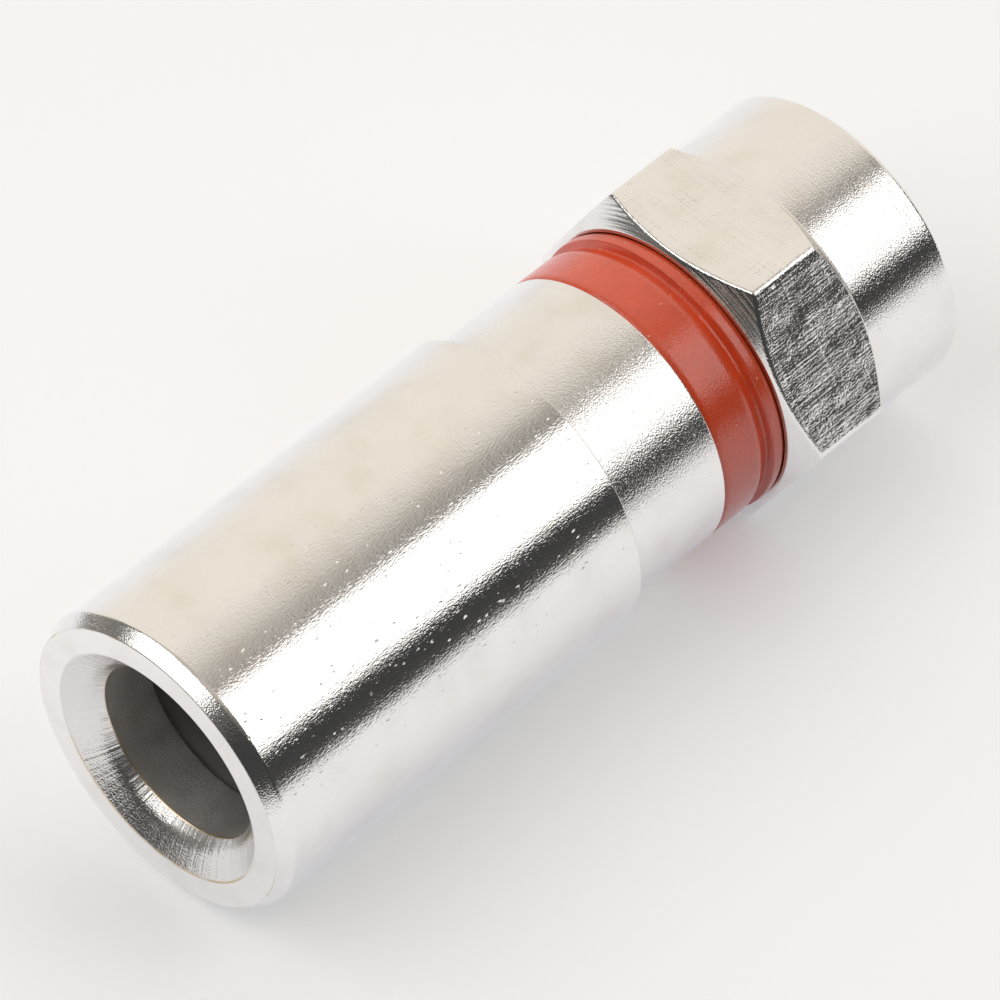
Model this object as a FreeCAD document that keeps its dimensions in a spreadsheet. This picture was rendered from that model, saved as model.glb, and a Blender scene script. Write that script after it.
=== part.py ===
"""Cable-mount F plug of the axial compression kind, lying along the X axis.

The plug is a row of turned pieces on one axis. A hexagon nut with a round skirt turns on the
flanged post. The post is pushed into the body, and a sleeve with a slotted ferrule inside slides
forward over the body to grip the cable. A red seal sits on the body's neck behind the nut.

Frame: millimetres, +X forward out of the nut, +Z up, a flat of the hexagon facing down. The origin
is on the axis in the front face of the post's flange, where the mating socket seats.

Each piece is drawn from its own rear end, and its Placement sets it at its station.
"""

import FreeCAD, Part
import math
import os

import Sketcher

SIZES = [
    ("cable_bore_radius", 3.30, "hole in the sleeve's rear wall for the cable's jacket"),
    ("push_gap", 0.01, "radial gap of pieces that are pushed together"),
    ("slide_gap", 0.03, "radial gap of the sleeve on the body"),
    ("nose_gap", 0.05, "radial gap of the ferrule's nose in the body"),
    ("spin_gap", 0.07, "radial gap of the nut on the post"),
    ("float_gap", 0.10, "gap on each side of the nut's inner flange"),
    ("slide_seal_gap", 0.015, "gap from the rear ring seal to the sleeve"),
    ("spin_seal_gap", 0.05, "gap from the front ring seal to the nut"),
    ("sleeve_wall", 0.442, "wall of the sleeve over the body"),
    ("sleeve_length", 16.40, "sleeve from end to end"),
    ("sleeve_bevel_run", 0.515, "rear outer bevel along the axis"),
    ("sleeve_bevel_drop", 0.312, "rear outer bevel across the axis"),
    ("cable_mouth_flare", 1.084, "countersink of the cable hole, beyond its radius"),
    ("cable_mouth_depth", 0.935, "depth of that countersink"),
    ("rear_wall", 2.90, "rear face to the ferrule's seat inside the sleeve"),
    ("sleeve_travel", 4.30, "slide of the sleeve from shipped to closed"),
    ("closed_gap", 0.15, "sleeve to seal when closed"),
    ("stop_gap", 0.10, "ferrule's collar to body when closed"),
    ("collar_step", 0.623, "seat of the ferrule's collar, in from the sleeve's bore"),
    ("collar_length", 3.70, "length of the ferrule's collar"),
    ("nose_wall", 0.50, "wall of the ferrule's nose"),
    ("nose_length", 5.90, "ferrule's nose in front of its collar"),
    ("nose_taper_run", 1.60, "tapered end of the nose"),
    ("nose_taper_drop", 0.22, "radius lost at the tip of the nose"),
    ("slot_width", 0.55, "slots that part the fingers of the nose"),
    ("slot_root", 1.30, "whole part of the nose behind those slots"),
    ("tooth_depth", 0.14, "grip teeth inside the nose"),
    ("tooth_pitch", 0.55, "step from tooth to tooth"),
    ("body_radius", 5.203, "outside of the body"),
    ("body_wall", 1.103, "wall of the body"),
    ("body_mouth_bevel", 0.30, "lead-in at the body's rear mouth"),
    ("body_front_wall", 0.95, "wall between the bore and the front shoulder"),
    ("neck_step", 1.003, "neck that carries the red seal, in from the body"),
    ("serration_depth", 0.18, "grooves in the front of the body's bore"),
    ("serration_pitch", 0.62, "step from groove to groove"),
    ("rear_groove_station", 0.90, "body's rear end to its ring groove"),
    ("rear_groove_width", 0.85, "ring groove under the sleeve"),
    ("rear_groove_depth", 0.60, "depth of that groove"),
    ("front_groove_margin", 0.05, "red seal to the neck's ring groove"),
    ("front_groove_inset", 0.17, "neck's front end to its ring groove"),
    ("front_groove_width", 0.90, "ring groove under the nut"),
    ("front_groove_depth", 0.45, "depth of that groove"),
    ("front_ring_height", 0.75, "front ring seal across the axis"),
    ("ring_side_gap", 0.10, "gap on each side of a ring seal in its groove"),
    ("post_bore_radius", 1.98, "hole for the cable's insulation"),
    ("post_wall", 0.32, "wall of the post's tail"),
    ("post_tail", 7.90, "tail behind the body's front wall"),
    ("post_tail_bevel", 0.22, "knife edge at the end of the tail"),
    ("barb_height", 0.35, "barbs on the tail"),
    ("barb_run", 1.10, "length of one barb"),
    ("barb_start", 0.55, "tail's end to the first barb"),
    ("press_radius", 3.00, "body's front hole for the post"),
    ("shoulder_rise", 0.53, "part of the post that the nut turns on, out from that hole"),
    ("flange_clearance", 0.6125, "post's flange, in from the thread's major radius"),
    ("flange_thickness", 0.90, "thickness of that flange"),
    ("nut_wall", 0.7925, "thread to flat, for a hexagon 11.11 across its flats"),
    ("corner_break", 0.035, "hexagon's corners, in from sharp"),
    ("rim_land", 0.146, "flat rim at the nut's rear"),
    ("rear_chamfer_run", 0.60, "hexagon's rear chamfer along the axis"),
    ("front_chamfer_run", 0.68, "hexagon's front chamfer along the axis"),
    ("hexagon_length", 4.125, "rear rim to the start of the skirt"),
    ("skirt_drop", 0.02, "skirt below the flats"),
    ("skirt_bevel", 0.12, "broken edge at the skirt's front"),
    ("nut_length", 8.09, "nut from end to end"),
    ("thread_radius", 4.7625, "major radius of the coupling thread"),
    ("thread_mouth", 0.40, "lead-in bevel of the thread"),
    ("relief_depth", 0.25, "relief between the thread and the nut's inner flange"),
    ("relief_lead", 0.10, "end of that relief in front of the post's flange"),
    ("inner_flange", 0.95, "nut's inner flange that the post holds"),
    ("nut_gap", 0.185, "red seal's lip to the nut's rear rim"),
    ("recess_bevel", 0.68, "bevel at the recess's mouth"),
    ("band_length", 1.65, "seal's plain band, flush with the body"),
    ("band_fall", 0.38, "slope from the band down to the seal's groove"),
    ("seal_groove_depth", 0.18, "floor of that groove below the band"),
    ("seal_groove_floor", 0.12, "length of the groove's floor"),
    ("lip_run", 0.11, "steep rear side of the seal's lip"),
    ("lip_height", 0.07, "lip above the band"),
    ("lip_land", 0.33, "length of the lip's land"),
    ("nose_bevel", 0.29, "bevelled nose of the seal that enters the nut's recess"),
]

FLAT_COUNT = 6
SLOT_COUNT = 6
TOOTH_COUNT = 3
SERRATION_COUNT = 3
BARB_COUNT = 2

FLAT_TO_CORNER = 2 / math.sqrt(3)


class Length:
    """A length with its value and the sheet expression that gives it."""

    def __init__(self, value, text):
        self.value = value
        self.text = text

    def join(self, other, sign):
        if not isinstance(other, Length):
            other = Length(other, repr(other))
        value = self.value + other.value if sign == "+" else self.value - other.value
        return Length(value, "(%s %s %s)" % (self.text, sign, other.text))

    def __add__(self, other):
        return self.join(other, "+")

    def __sub__(self, other):
        return self.join(other, "-")

    def __mul__(self, factor):
        return Length(self.value * factor, "(%s * %r)" % (self.text, factor))


ZERO = Length(0.0, "0")


def make_sheet(doc):
    """The driving sizes, one row each: name, value with its alias, what it is."""
    sheet = doc.addObject("Spreadsheet::Sheet", "Sizes")
    for row, (name, value, note) in enumerate(SIZES, start=1):
        sheet.set("A%d" % row, name)
        sheet.set("B%d" % row, "%r" % value)
        sheet.setAlias("B%d" % row, name)
        sheet.set("C%d" % row, note)
    doc.recompute()
    return sheet


def size(name):
    """One driving size of the sheet as a Length."""
    return Length(float(doc.Sizes.get(name)), "Sizes.%s" % name)


def origin_plane(body, role):
    for feature in body.Origin.OriginFeatures:
        if feature.Role == role:
            return feature


def new_sketch(body, name, role):
    sketch = body.newObject("Sketcher::SketchObject", name)
    sketch.AttachmentSupport = [(origin_plane(body, role), "")]
    sketch.MapMode = "FlatFace"
    return sketch


def pin_corner(sketch, side, axis, length, name):
    """Hold the start of a side at its distance from the sketch's origin along one axis."""
    if length is ZERO:
        line = -2 if axis == "X" else -1
        sketch.addConstraint(Sketcher.Constraint("PointOnObject", side, 1, line))
        return
    kind = "Distance" + axis
    index = sketch.addConstraint(Sketcher.Constraint(kind, -1, 1, side, 1, length.value))
    sketch.renameConstraint(index, name)
    sketch.setExpression("Constraints." + name, length.text)


def draw_profile(body, name, role, corners):
    """A closed sketch of straight sides through corners, each a pair of Lengths."""
    sketch = new_sketch(body, name, role)
    points = [FreeCAD.Vector(along.value, across.value, 0) for along, across in corners]
    for number, start in enumerate(points):
        sketch.addGeometry(Part.LineSegment(start, points[(number + 1) % len(points)]))
    for number, (along, across) in enumerate(corners):
        following = (number + 1) % len(corners)
        sketch.addConstraint(Sketcher.Constraint("Coincident", number, 2, following, 1))
        pin_corner(sketch, number, "X", along, "along%d" % number)
        pin_corner(sketch, number, "Y", across, "across%d" % number)
    return sketch


def turn_profile(body, name, sketch, kind):
    """Revolve a sketch about the part's axis: kind is Revolution to add or Groove to cut."""
    feature = body.newObject("PartDesign::" + kind, name)
    feature.Profile = sketch
    feature.ReferenceAxis = (sketch, ["H_Axis"])
    feature.Angle = 360
    body.Tip = feature
    return feature


def turned(body, name, corners, kind="Revolution"):
    sketch = draw_profile(body, name + "_profile", "XY_Plane", corners)
    return turn_profile(body, name, sketch, kind)


def cut_across(body, name, corners, width):
    """A pocket through a side view outline, half its width on each side of the axis."""
    sketch = draw_profile(body, name + "_profile", "XZ_Plane", corners)
    pocket = body.newObject("PartDesign::Pocket", name)
    pocket.Profile = sketch
    pocket.SideType = "Symmetric"
    pocket.Length = width.value
    pocket.setExpression("Length", width.text)
    body.Tip = pocket
    return pocket


def around_axis(body, name, feature, count):
    """Copies of one feature, evenly round the part's axis."""
    pattern = body.newObject("PartDesign::PolarPattern", name)
    pattern.Originals = [feature]
    pattern.Axis = (feature.Profile[0], ["H_Axis"])
    pattern.Angle = 360
    pattern.Occurrences = count
    body.Tip = pattern
    return pattern


def along_axis(body, name, feature, count, pitch):
    """Copies of one feature, pitch apart along the part's axis."""
    pattern = body.newObject("PartDesign::LinearPattern", name)
    pattern.Originals = [feature]
    pattern.Direction = (feature.Profile[0], ["H_Axis"])
    pattern.Mode = "Spacing"
    pattern.Occurrences = count
    pattern.Offset = pitch.value
    pattern.setExpression("Offset", pitch.text)
    body.Tip = pattern
    return pattern


def new_body(name, station):
    """An empty body for one piece, with its rear end at the station."""
    body = doc.addObject("PartDesign::Body", name)
    body.Label = name
    body.setExpression(".Placement.Base.x", station.text)
    return body


def sleeve_bore_radius():
    return size("body_radius") + size("slide_gap")


def body_bore_radius():
    return size("body_radius") - size("body_wall")


def neck_radius():
    return size("body_radius") - size("neck_step")


def front_groove_radius():
    return neck_radius() - size("front_groove_depth")


def rear_groove_radius():
    return size("body_radius") - size("rear_groove_depth")


def collar_seat_radius():
    return sleeve_bore_radius() - size("collar_step")


def nose_radius():
    return body_bore_radius() - size("nose_gap")


def shoulder_radius():
    return size("press_radius") + size("shoulder_rise")


def seal_lip_station():
    """Rear end of the red seal to the start of its lip's land."""
    groove = size("band_fall") + size("seal_groove_floor")
    return size("band_length") + groove + size("lip_run")


def seal_length():
    """The red seal from end to end."""
    return seal_lip_station() + size("lip_land") + size("nose_bevel")


def front_groove_room():
    """The stretch of the neck in front of the red seal."""
    margins = size("front_groove_margin") + size("front_groove_inset")
    return margins + size("front_groove_width")


def neck_length():
    return seal_length() + front_groove_room()


def recess_depth():
    """The nut's recess, which covers the neck's groove and takes in the red seal's nose."""
    return size("nose_bevel") + front_groove_room() + size("float_gap") - size("nut_gap")


def nut_seat_length():
    """The post's shoulder between the body's neck and the flange, where the nut turns."""
    return size("float_gap") + size("inner_flange") + size("float_gap")


def stations():
    """Where each piece's rear end lies along the axis, from the origin.

    They are counted forward from the sleeve's rear face, and the origin is in the front face of
    the post's flange.
    """
    body_rear = size("rear_wall") + size("collar_length") + size("stop_gap") + size("sleeve_travel")
    shoulder = size("sleeve_length") + size("sleeve_travel") + size("closed_gap")
    neck_front = shoulder + neck_length()
    mating_face = neck_front + nut_seat_length() + size("flange_thickness")
    rear_ring = body_rear + size("rear_groove_station") + size("ring_side_gap")
    front_groove = shoulder + seal_length() + size("front_groove_margin")
    return {
        "compression_sleeve": ZERO - mating_face,
        "locking_ferrule": size("rear_wall") - mating_face,
        "connector_body": body_rear - mating_face,
        "rear_ring_seal": rear_ring - mating_face,
        "weather_seal": shoulder - mating_face,
        "front_ring_seal": front_groove + size("ring_side_gap") - mating_face,
        "post": shoulder - size("body_front_wall") - size("post_tail") - mating_face,
        "coupling_nut": neck_front + size("float_gap") - recess_depth() - mating_face,
    }


def body_length():
    """The body from its rear end to the shoulder behind the red seal."""
    place = stations()
    return place["weather_seal"] - place["connector_body"]


def make_compression_sleeve(station):
    """Thin-walled sleeve with a thick rear wall, a countersunk cable hole and a ferrule seat."""
    body = new_body("compression_sleeve", station)
    bore = sleeve_bore_radius()
    outer = bore + size("sleeve_wall")
    length = size("sleeve_length")
    seat_front = size("rear_wall") + size("collar_length")
    cable_hole = size("cable_bore_radius")
    turned(body, "sleeve_turning", [
        (ZERO, cable_hole + size("cable_mouth_flare")),
        (ZERO, outer - size("sleeve_bevel_drop")),
        (size("sleeve_bevel_run"), outer),
        (length, outer),
        (length, bore),
        (seat_front, bore),
        (seat_front, collar_seat_radius()),
        (size("rear_wall"), collar_seat_radius()),
        (size("rear_wall"), cable_hole),
        (size("cable_mouth_depth"), cable_hole),
    ])
    return body


def make_locking_ferrule(station):
    """Plastic ferrule: a collar in the sleeve and a slotted nose that wedges into the body."""
    body = new_body("locking_ferrule", station)
    collar = size("collar_length")
    tip = collar + size("nose_length")
    outer = nose_radius()
    bore = outer - size("nose_wall")
    tooth = size("tooth_depth")
    pitch = size("tooth_pitch")
    turned(body, "ferrule_turning", [
        (ZERO, bore),
        (ZERO, collar_seat_radius() - size("push_gap")),
        (collar, collar_seat_radius() - size("push_gap")),
        (collar, outer),
        (tip - size("nose_taper_run"), outer),
        (tip, outer - size("nose_taper_drop")),
        (tip, bore),
    ])
    first_tooth = tip - pitch * (TOOTH_COUNT + 0.5)
    teeth = turned(body, "grip_tooth", [
        (first_tooth, bore - tooth),
        (first_tooth, bore + tooth),
        (first_tooth + pitch, bore),
    ], kind="Groove")
    along_axis(body, "grip_teeth", teeth, TOOTH_COUNT, pitch)
    slot_start = collar + size("slot_root")
    slot = cut_across(body, "finger_slot", [
        (slot_start, bore - tooth),
        (tip + tooth, bore - tooth),
        (tip + tooth, outer + tooth),
        (slot_start, outer + tooth),
    ], size("slot_width"))
    around_axis(body, "finger_slots", slot, SLOT_COUNT)
    return body


def make_connector_body(station):
    """Tube with a neck in front, ring grooves on both and serrations inside."""
    body = new_body("connector_body", station)
    outer = size("body_radius")
    bore = body_bore_radius()
    mouth = size("body_mouth_bevel")
    length = body_length()
    neck_front = length + neck_length()
    rear_groove = size("rear_groove_station")
    rear_groove_end = rear_groove + size("rear_groove_width")
    front_groove_end = neck_front - size("front_groove_inset")
    front_groove = front_groove_end - size("front_groove_width")
    bore_end = length - size("body_front_wall")
    turned(body, "body_turning", [
        (ZERO, bore + mouth),
        (ZERO, outer - mouth),
        (mouth, outer),
        (rear_groove, outer),
        (rear_groove, rear_groove_radius()),
        (rear_groove_end, rear_groove_radius()),
        (rear_groove_end, outer),
        (length, outer),
        (length, neck_radius()),
        (front_groove, neck_radius()),
        (front_groove, front_groove_radius()),
        (front_groove_end, front_groove_radius()),
        (front_groove_end, neck_radius()),
        (neck_front, neck_radius()),
        (neck_front, size("press_radius")),
        (bore_end, size("press_radius")),
        (bore_end, bore),
        (mouth, bore),
    ])
    pitch = size("serration_pitch")
    first = bore_end - pitch * (SERRATION_COUNT + 0.5)
    depth = size("serration_depth")
    cut = turned(body, "serration", [
        (first, bore - depth),
        (first, bore + depth),
        (first + pitch, bore),
    ], kind="Groove")
    along_axis(body, "serrations", cut, SERRATION_COUNT, pitch)
    return body


def make_post(station):
    """Flanged tube: a barbed tail under the braid, a seat in the body and the nut's shoulder."""
    body = new_body("post", station)
    bore = size("post_bore_radius")
    tail_radius = bore + size("post_wall")
    knife = size("post_tail_bevel")
    seat_rear = size("post_tail")
    seat_front = seat_rear + size("body_front_wall") + neck_length()
    seat_radius = size("press_radius") - size("push_gap")
    shoulder_front = seat_front + nut_seat_length()
    front = shoulder_front + size("flange_thickness")
    flange = size("thread_radius") - size("flange_clearance")
    turned(body, "post_turning", [
        (ZERO, bore),
        (ZERO, tail_radius - knife),
        (knife, tail_radius),
        (seat_rear, tail_radius),
        (seat_rear, seat_radius),
        (seat_front, seat_radius),
        (seat_front, shoulder_radius()),
        (shoulder_front, shoulder_radius()),
        (shoulder_front, flange),
        (front, flange),
        (front, bore),
    ])
    start = size("barb_start")
    barb = turned(body, "barb", [
        (start, tail_radius - knife),
        (start, tail_radius),
        (start + size("barb_run"), tail_radius + size("barb_height")),
        (start + size("barb_run"), tail_radius - knife),
    ])
    along_axis(body, "barbs", barb, BARB_COUNT, size("barb_run"))
    return body


def make_coupling_nut(station):
    """Hexagon nut with chamfered ends, a round skirt, a thread bore and a recess for the seal."""
    body = new_body("coupling_nut", station)
    thread = size("thread_radius")
    half_flats = thread + size("nut_wall")
    corner = half_flats * FLAT_TO_CORNER - size("corner_break")
    skirt = half_flats - size("skirt_drop")
    front = size("nut_length")
    hexagon = size("hexagon_length")
    bevel = size("recess_bevel")
    ring_outer = front_groove_radius() + size("push_gap") + size("front_ring_height")
    recess = ring_outer + size("spin_seal_gap")
    inner_rear = recess_depth()
    inner_front = inner_rear + size("inner_flange")
    relief_front = inner_front + size("float_gap") + size("flange_thickness") + size("relief_lead")
    relief = thread + size("relief_depth")
    spin_radius = shoulder_radius() + size("spin_gap")
    turned(body, "nut_turning", [
        (ZERO, recess + bevel),
        (ZERO, recess + bevel + size("rim_land")),
        (size("rear_chamfer_run"), corner),
        (hexagon - size("front_chamfer_run"), corner),
        (hexagon, skirt),
        (front - size("skirt_bevel"), skirt),
        (front, skirt - size("skirt_bevel")),
        (front, thread + size("thread_mouth")),
        (front - size("thread_mouth"), thread),
        (relief_front, thread),
        (relief_front, relief),
        (inner_front, relief),
        (inner_front, spin_radius),
        (inner_rear, spin_radius),
        (inner_rear, recess),
        (bevel, recess),
    ])
    flat = cut_across(body, "flat", [
        (ZERO, half_flats),
        (hexagon, half_flats),
        (hexagon, corner + bevel),
        (ZERO, corner + bevel),
    ], corner * 2)
    around_axis(body, "flats", flat, FLAT_COUNT)
    return body


def make_weather_seal(station):
    """Red ring on the neck: a plain band, a slope into a groove, a lip and a bevelled nose."""
    body = new_body("weather_seal", station)
    inner = neck_radius() + size("push_gap")
    band = size("body_radius")
    floor = band - size("seal_groove_depth")
    floor_start = size("band_length") + size("band_fall")
    lip_start = seal_lip_station()
    lip = band + size("lip_height")
    lip_end = lip_start + size("lip_land")
    nose = size("nose_bevel")
    turned(body, "seal_turning", [
        (ZERO, inner),
        (ZERO, band),
        (size("band_length"), band),
        (floor_start, floor),
        (floor_start + size("seal_groove_floor"), floor),
        (lip_start, lip),
        (lip_end, lip),
        (lip_end + nose, lip - nose),
        (lip_end + nose, inner),
    ])
    return body


def make_ring_seal(name, station, inner, height, width):
    """A square-cut rubber ring."""
    body = new_body(name, station)
    turned(body, name + "_section", [
        (ZERO, inner),
        (ZERO, inner + height),
        (width, inner + height),
        (width, inner),
    ])
    return body


def make_front_ring_seal(station):
    """The ring in the neck's groove, under the nut's recess."""
    inner = front_groove_radius() + size("push_gap")
    width = size("front_groove_width") - size("ring_side_gap") * 2
    return make_ring_seal("front_ring_seal", station, inner, size("front_ring_height"), width)


def make_rear_ring_seal(station):
    """The ring in the body's rear groove, under the sleeve."""
    inner = rear_groove_radius() + size("push_gap")
    height = sleeve_bore_radius() - size("slide_seal_gap") - inner
    width = size("rear_groove_width") - size("ring_side_gap") * 2
    return make_ring_seal("rear_ring_seal", station, inner, height, width)


def make_plug():
    makers = {
        "coupling_nut": make_coupling_nut,
        "post": make_post,
        "connector_body": make_connector_body,
        "compression_sleeve": make_compression_sleeve,
        "locking_ferrule": make_locking_ferrule,
        "weather_seal": make_weather_seal,
        "front_ring_seal": make_front_ring_seal,
        "rear_ring_seal": make_rear_ring_seal,
    }
    place = stations()
    return [make(place[name]) for name, make in makers.items()]


def check_document(bodies):
    """Stop if a feature failed or a piece isn't one sound solid."""
    for item in doc.Objects:
        if "Invalid" in item.State or "Error" in item.State:
            raise RuntimeError("%s failed: %s" % (item.Name, item.State))
    for body in bodies:
        if body.Shape.isNull() or not body.Shape.isValid():
            raise RuntimeError("%s has no valid shape" % body.Label)
        if len(body.Shape.Solids) != 1:
            raise RuntimeError("%s has %d solids" % (body.Label, len(body.Shape.Solids)))


doc = FreeCAD.newDocument("f_plug")
make_sheet(doc)
pieces = make_plug()
doc.recompute()
check_document(pieces)
os.makedirs("parts", exist_ok=True)
for piece in pieces:
    piece.Shape.exportStep("parts/%s.step" % piece.Label)
    box = piece.Shape.BoundBox
    print("%s x %.3f to %.3f, volume %.3f" % (piece.Label, box.XMin, box.XMax, piece.Shape.Volume))
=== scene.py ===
"""Studio picture of a cable-mount F plug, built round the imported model.

The plug lies along X on one flat of its hexagon nut, with its cable end towards -X. Each new piece
is a closed outline of corners in the plane through the axis, with every corner rounded, swept once
round X on a grid of rows and columns. The nut's outline changes from column to column.

Lengths in an outline are millimetres: x forward from the piece's own rear end, r out from the axis.
"""

import math

import bpy
import numpy as np
from bpy.props import FloatProperty, FloatVectorProperty, PointerProperty
from mathutils import Matrix, Quaternion, Vector


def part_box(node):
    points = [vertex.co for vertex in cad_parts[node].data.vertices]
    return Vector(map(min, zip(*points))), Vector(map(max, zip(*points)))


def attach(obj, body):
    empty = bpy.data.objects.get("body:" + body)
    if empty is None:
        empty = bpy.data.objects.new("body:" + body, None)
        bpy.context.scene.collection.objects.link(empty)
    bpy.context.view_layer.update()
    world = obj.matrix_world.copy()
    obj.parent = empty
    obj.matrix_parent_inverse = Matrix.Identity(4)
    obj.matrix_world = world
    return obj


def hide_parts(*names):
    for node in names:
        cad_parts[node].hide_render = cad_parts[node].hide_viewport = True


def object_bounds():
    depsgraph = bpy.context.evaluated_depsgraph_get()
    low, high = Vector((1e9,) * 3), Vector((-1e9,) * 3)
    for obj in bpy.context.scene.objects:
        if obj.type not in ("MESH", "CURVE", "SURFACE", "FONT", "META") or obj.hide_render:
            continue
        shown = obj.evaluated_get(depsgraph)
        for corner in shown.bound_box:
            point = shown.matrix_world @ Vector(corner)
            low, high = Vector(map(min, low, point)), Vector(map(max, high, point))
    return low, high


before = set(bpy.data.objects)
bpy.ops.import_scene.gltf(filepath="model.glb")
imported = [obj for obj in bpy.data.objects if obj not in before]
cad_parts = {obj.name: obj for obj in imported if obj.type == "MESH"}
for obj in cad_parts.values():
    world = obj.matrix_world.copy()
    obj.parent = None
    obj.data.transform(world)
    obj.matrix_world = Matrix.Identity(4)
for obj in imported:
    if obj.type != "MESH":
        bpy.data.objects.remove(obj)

bl_info = {
    "name": "F plug",
    "version": (1, 0, 0),
    "blender": (4, 5, 0),
    "location": "View3D > Sidebar > F plug",
    "description": "Builds a nickel plated cable plug with a red seal, piece by piece",
    "category": "Object",
}

CAD_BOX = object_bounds()

MM = 0.001
COLUMNS = 360
NUT_COLUMNS_PER_FLAT = 84
FLATS = 6

# Cuts that round a crisp, a plain and a soft edge, in millimetres
CRISP = 0.02
EDGE = 0.03
SOFT = 0.04


def length_setting(name, description, millimetres):
    """A length of the panel, given in millimetres and kept in metres."""
    return FloatProperty(
        name=name, description=description, default=millimetres * MM, min=0.0, unit="LENGTH", precision=6
    )


def colour_setting(name, description, colour):
    """A colour of the panel."""
    return FloatVectorProperty(
        name=name, description=description, default=colour, size=3, min=0.0, max=1.0, subtype="COLOR"
    )


def share_setting(name, description, share):
    """A share of the panel, from 0 to 1."""
    return FloatProperty(name=name, description=description, default=share, min=0.0, max=1.0)


def angle_setting(name, description, degrees):
    """An angle of the panel, given in degrees and kept in radians."""
    return FloatProperty(
        name=name, description=description, default=math.radians(degrees), subtype="ANGLE"
    )


def node_reach(node):
    """Rear end, front end and radius (the nut's: to a flat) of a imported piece, in millimetres."""
    low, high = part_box(node)
    return low.x / MM, high.x / MM, min(high.y, high.z) / MM


class PlugSleeveSettings(bpy.types.PropertyGroup):
    cable_hole: length_setting("Cable hole", "Radius of the hole for the cable", 3.30)
    mouth: length_setting("Mouth", "Radius of the countersink at the rear face", 4.384)
    mouth_depth: length_setting("Mouth depth", "Depth of the countersink", 0.935)
    mouth_turn_x: length_setting("Turn depth", "Depth where the countersink gets steeper", 0.525)
    mouth_turn_r: length_setting("Turn radius", "Radius where the countersink gets steeper", 3.634)
    bevel_run: length_setting("Bevel run", "Rear bevel along the axis", 0.515)
    bevel_drop: length_setting("Bevel drop", "Rear bevel across the axis", 0.312)
    rear_wall: length_setting("Rear wall", "Rear face to the ferrule's seat", 2.90)
    seat: length_setting("Seat", "Radius of the ferrule's seat", 4.61)
    seat_end: length_setting("Seat end", "Rear face to the seat's front end", 6.60)
    bore: length_setting("Bore", "Radius of the bore that slides on the body", 5.233)


class PlugBodySettings(bpy.types.PropertyGroup):
    bore: length_setting("Bore", "Radius of the tube's bore", 4.10)
    neck: length_setting("Neck", "Radius of the neck under the red seal", 4.20)
    groove: length_setting("Groove", "Depth of the rear ring's groove", 0.60)
    post_hole: length_setting("Post hole", "Radius of the front hole", 3.00)
    front_wall: length_setting("Front wall", "Bore's end to the shoulder", 0.95)


class PlugSealSettings(bpy.types.PropertyGroup):
    bore: length_setting("Bore", "Radius of the seal's bore", 4.21)
    band_length: length_setting("Band", "Length of the plain band", 1.65)
    groove: length_setting("Groove", "Depth of the groove below the band", 0.18)
    groove_start: length_setting("Groove start", "Rear end to the groove's floor", 2.03)
    groove_end: length_setting("Groove end", "Rear end to the end of that floor", 2.15)
    lip_start: length_setting("Lip start", "Rear end to the lip's land", 2.26)
    nose: length_setting("Nose", "Bevelled nose in front of the lip", 0.29)
    nose_turn: length_setting("Nose turn", "Length of the steeper end of the nose", 0.105)
    nose_fall: length_setting("Nose fall", "Fall of the nose before its steeper end", 0.075)
    colour: colour_setting("Colour", "Colour of the red seal", (0.760, 0.080, 0.022))


class PlugNutSettings(bpy.types.PropertyGroup):
    rim: length_setting("Rim", "Radius of the rear rim", 5.386)
    recess: length_setting("Recess", "Radius of the recess over the neck", 4.56)
    recess_mouth: length_setting("Recess mouth", "Radius of the recess at the rim", 5.24)
    recess_depth: length_setting("Recess depth", "Rim to the inner flange", 1.325)
    inner_flange: length_setting("Inner flange", "Length of the flange that the post holds", 0.95)
    spin_bore: length_setting("Spin bore", "Radius of the bore that turns on the post", 3.60)
    relief: length_setting("Relief", "Radius of the relief behind the thread", 5.0125)
    relief_end: length_setting("Relief end", "Rim to the start of the thread", 3.375)
    hexagon_length: length_setting("Hexagon", "Rim to the skirt", 4.125)
    skirt: length_setting("Skirt", "Radius of the round skirt", 5.535)
    thread: length_setting("Thread", "Major radius of the thread", 4.7625)
    thread_pitch: length_setting("Pitch", "Pitch of the thread", 25.4 / 32)
    thread_height: length_setting("Ridge", "Height of the thread's ridge", 0.40)


class PlugPostSettings(bpy.types.PropertyGroup):
    bore: length_setting("Bore", "Radius of the post's bore", 1.98)
    wall: length_setting("Wall", "Wall of the post's tail", 0.32)
    seat: length_setting("Seat", "Radius where the post is pushed into the body", 2.99)
    shoulder: length_setting("Shoulder", "Radius that the nut turns on", 3.53)
    flange_thickness: length_setting("Flange", "Thickness of the front flange", 0.90)


class PlugFinishSettings(bpy.types.PropertyGroup):
    nickel: colour_setting("Nickel", "Colour of the plating", (0.775, 0.748, 0.718))
    tarnish: colour_setting("Tarnish", "Colour of the plating where it is stained", (0.620, 0.565, 0.490))
    stained: share_setting("Stain", "Strength of the stains", 0.34)
    brass: colour_setting("Brass", "Colour of the metal where an edge is worn", (0.570, 0.385, 0.150))
    worn: share_setting("Edge wear", "How much brass shows where an edge is worn", 0.66)


class PlugStageSettings(bpy.types.PropertyGroup):
    azimuth: angle_setting("Azimuth", "Camera round the plug", -45.229)
    elevation: angle_setting("Elevation", "Camera above the floor", 49.248)
    roll: angle_setting("Roll", "Camera turned about its line of sight", -0.832)
    distance: length_setting("Distance", "Camera to the point that it looks at", 306.157)
    aim: FloatVectorProperty(
        name="Aim",
        description="Point that the camera looks at",
        default=(-11.261 * MM, -0.024 * MM, -0.014 * MM),
        size=3,
        subtype="TRANSLATION",
    )
    lens: FloatProperty(name="Lens", description="Focal length in millimetres", default=338.56, min=1.0)


# Meshes


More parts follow.
